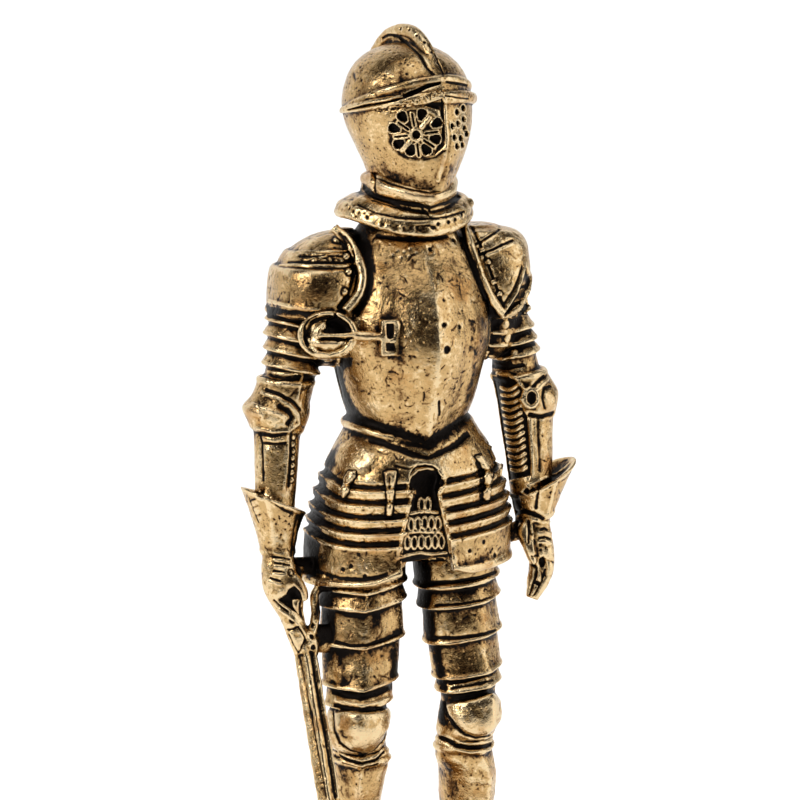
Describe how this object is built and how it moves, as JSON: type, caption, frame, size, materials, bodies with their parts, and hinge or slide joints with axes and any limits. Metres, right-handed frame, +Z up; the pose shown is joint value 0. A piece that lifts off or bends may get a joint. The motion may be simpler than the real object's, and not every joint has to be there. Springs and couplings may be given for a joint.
{
  "type": "knight statuette",
  "caption": "Small cast figure of a standing knight in full plate armour, helm closed, one hand resting on a sword, on a low stepped plinth. A shelf ornament.",
  "frame": {"origin": "centre of the plinth's underside", "axes": "+Z up through the figure's head, -Y to the figure's front, +X to the figure's left"},
  "size_m": [0.06, 0.044, 0.1577],
  "materials": {
    "knight_brass": "old gold, polished on the raised plates, with a dark patina in the recesses",
    "plinth_brass": "old gold, satin"
  },
  "bodies": {
    "root": {"knight": "knight_brass", "plinth": "plinth_brass"}
  },
  "joints": []
}
